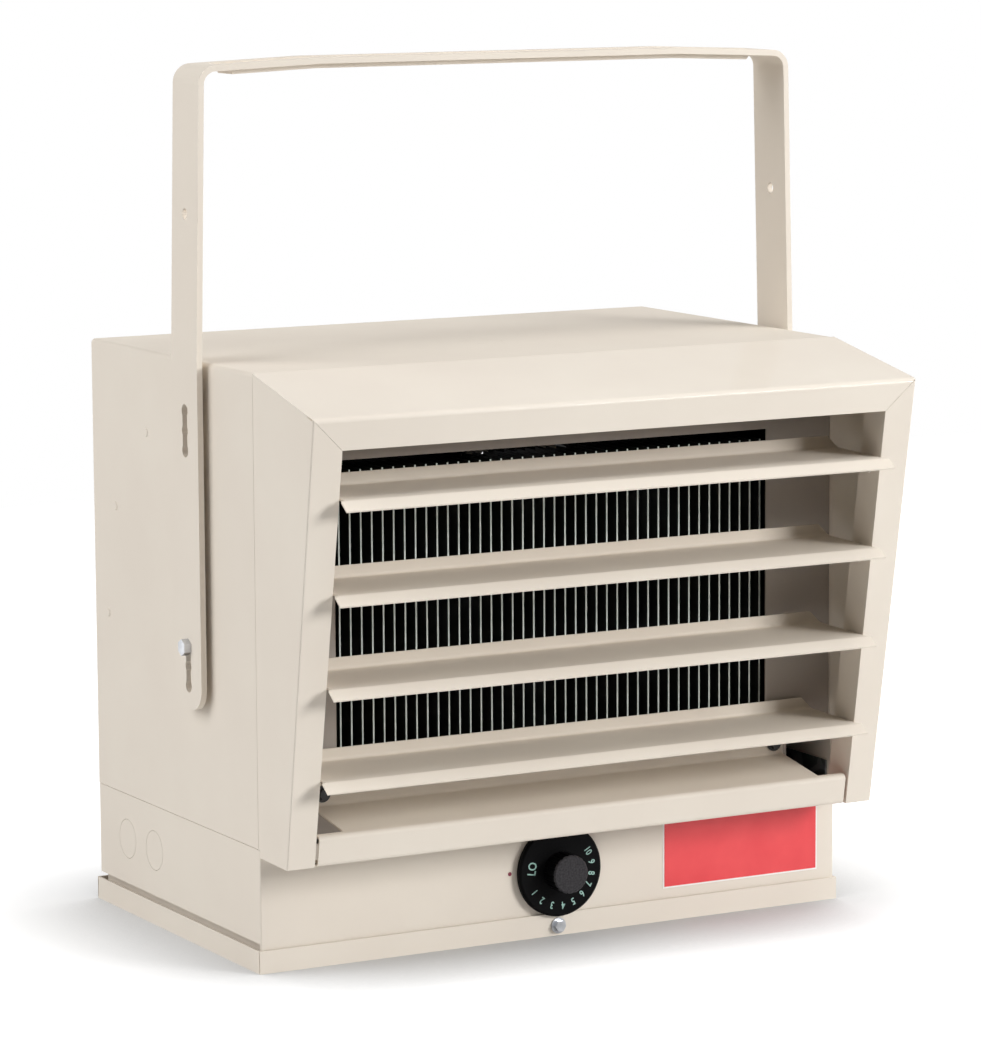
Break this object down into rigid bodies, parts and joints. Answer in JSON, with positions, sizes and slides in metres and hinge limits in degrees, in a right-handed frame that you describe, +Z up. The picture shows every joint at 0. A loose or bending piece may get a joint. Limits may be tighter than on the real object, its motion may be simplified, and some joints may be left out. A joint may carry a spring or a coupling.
{
  "type": "utility heater",
  "caption": "Hanging fan-forced utility heater: sheet-steel cabinet, sloped hood with turning louvres, finned element, control base with dial, and a tilting strap bracket.",
  "frame": {"origin": "middle of the bottom cover's underside, which is the resting face", "axes": "+X to the right seen from the front, +Y to the back (the outlet faces -Y), +Z up"},
  "size_m": [0.3774, 0.2901, 0.4756],
  "materials": {
    "almond_paint": "semi-gloss almond enamel",
    "galvanised": "dull galvanised sheet",
    "zinc_steel": "bright zinc plate",
    "black_plastic": "fine matte texture",
    "black_steel": "satin black",
    "terminal_brass": "plain",
    "fin_aluminium": "mill finish",
    "sheath_steel": "heat-dulled steel sheath",
    "ceramic": "glazed ceramic"
  },
  "bodies": {
    "heater": {"cabinet_wrapper": "almond_paint", "knockout_discs": "almond_paint", "side_rivets": "almond_paint", "rear_panel": "almond_paint", "deck_plate": "galvanised", "base_box": "almond_paint", "bottom_cover": "almond_paint", "cover_screw": "zinc_steel", "thermostat_body": "black_plastic", "contactor": "black_plastic", "terminal_block": "black_plastic", "terminal_screws": "terminal_brass", "ground_screw": "zinc_steel", "front_baffle": "almond_paint", "baffle_screws": "black_steel", "element_housing": "galvanised", "element_fins": "fin_aluminium", "element_tube_lower": "sheath_steel", "element_tube_upper": "sheath_steel", "element_bushes": "ceramic", "limit_switch": "zinc_steel", "fan_shroud": "galvanised", "motor_front_bell": "black_steel", "motor_can": "zinc_steel", "motor_rear_bell": "black_steel", "motor_strap": "galvanised", "strap_screws": "zinc_steel", "hood_top": "almond_paint", "hood_left_side": "almond_paint", "hood_right_side": "almond_paint", "hood_bottom_rail": "almond_paint", "clinch_nuts": "zinc_steel"},
    "pivot": {"bracket_bolts": "zinc_steel", "bracket_spacers": "zinc_steel"},
    "bracket": {"mounting_bracket": "almond_paint"},
    "louvre_1": {"louvre_1": "almond_paint"},
    "louvre_2": {"louvre_2": "almond_paint"},
    "louvre_3": {"louvre_3": "almond_paint"},
    "louvre_4": {"louvre_4": "almond_paint"},
    "dial": {"thermostat_dial": "black_plastic", "thermostat_spindle": "zinc_steel"},
    "fan": {"fan_blades": "fin_aluminium", "fan_hub": "zinc_steel", "motor_shaft": "zinc_steel"}
  },
  "joints": [
    {"name": "bracket_tilt", "type": "hinge", "parent": "heater", "child": "pivot", "pos_m": [0, -0.0335, 0.1643], "axis": [-1, 0, 0], "range_deg": [-20, 90]},
    {"name": "bracket_slide", "type": "slide", "parent": "pivot", "child": "bracket", "axis": [0, 0, 1], "range_m": [0, 0.021]},
    {"name": "louvre_1_tilt", "type": "hinge", "parent": "heater", "child": "louvre_1", "pos_m": [0, -0.16106, 0.2536], "axis": [1, 0, 0], "range_deg": [-25, 25]},
    {"name": "louvre_2_tilt", "type": "hinge", "parent": "heater", "child": "louvre_2", "pos_m": [0, -0.15272, 0.2038], "axis": [1, 0, 0], "range_deg": [-25, 25]},
    {"name": "louvre_3_tilt", "type": "hinge", "parent": "heater", "child": "louvre_3", "pos_m": [0, -0.14438, 0.154], "axis": [1, 0, 0], "range_deg": [-25, 25]},
    {"name": "louvre_4_tilt", "type": "hinge", "parent": "heater", "child": "louvre_4", "pos_m": [0, -0.13603, 0.1042], "axis": [1, 0, 0], "range_deg": [-25, 25]},
    {"name": "thermostat_turn", "type": "hinge", "parent": "heater", "child": "dial", "pos_m": [0, -0.11, 0.0365], "axis": [0, 1, 0], "range_deg": [0, 206]},
    {"name": "fan_spin", "type": "hinge", "parent": "heater", "child": "fan", "pos_m": [0.005, -0.037, 0.1841], "axis": [0, 1, 0], "continuous": true}
  ]
}
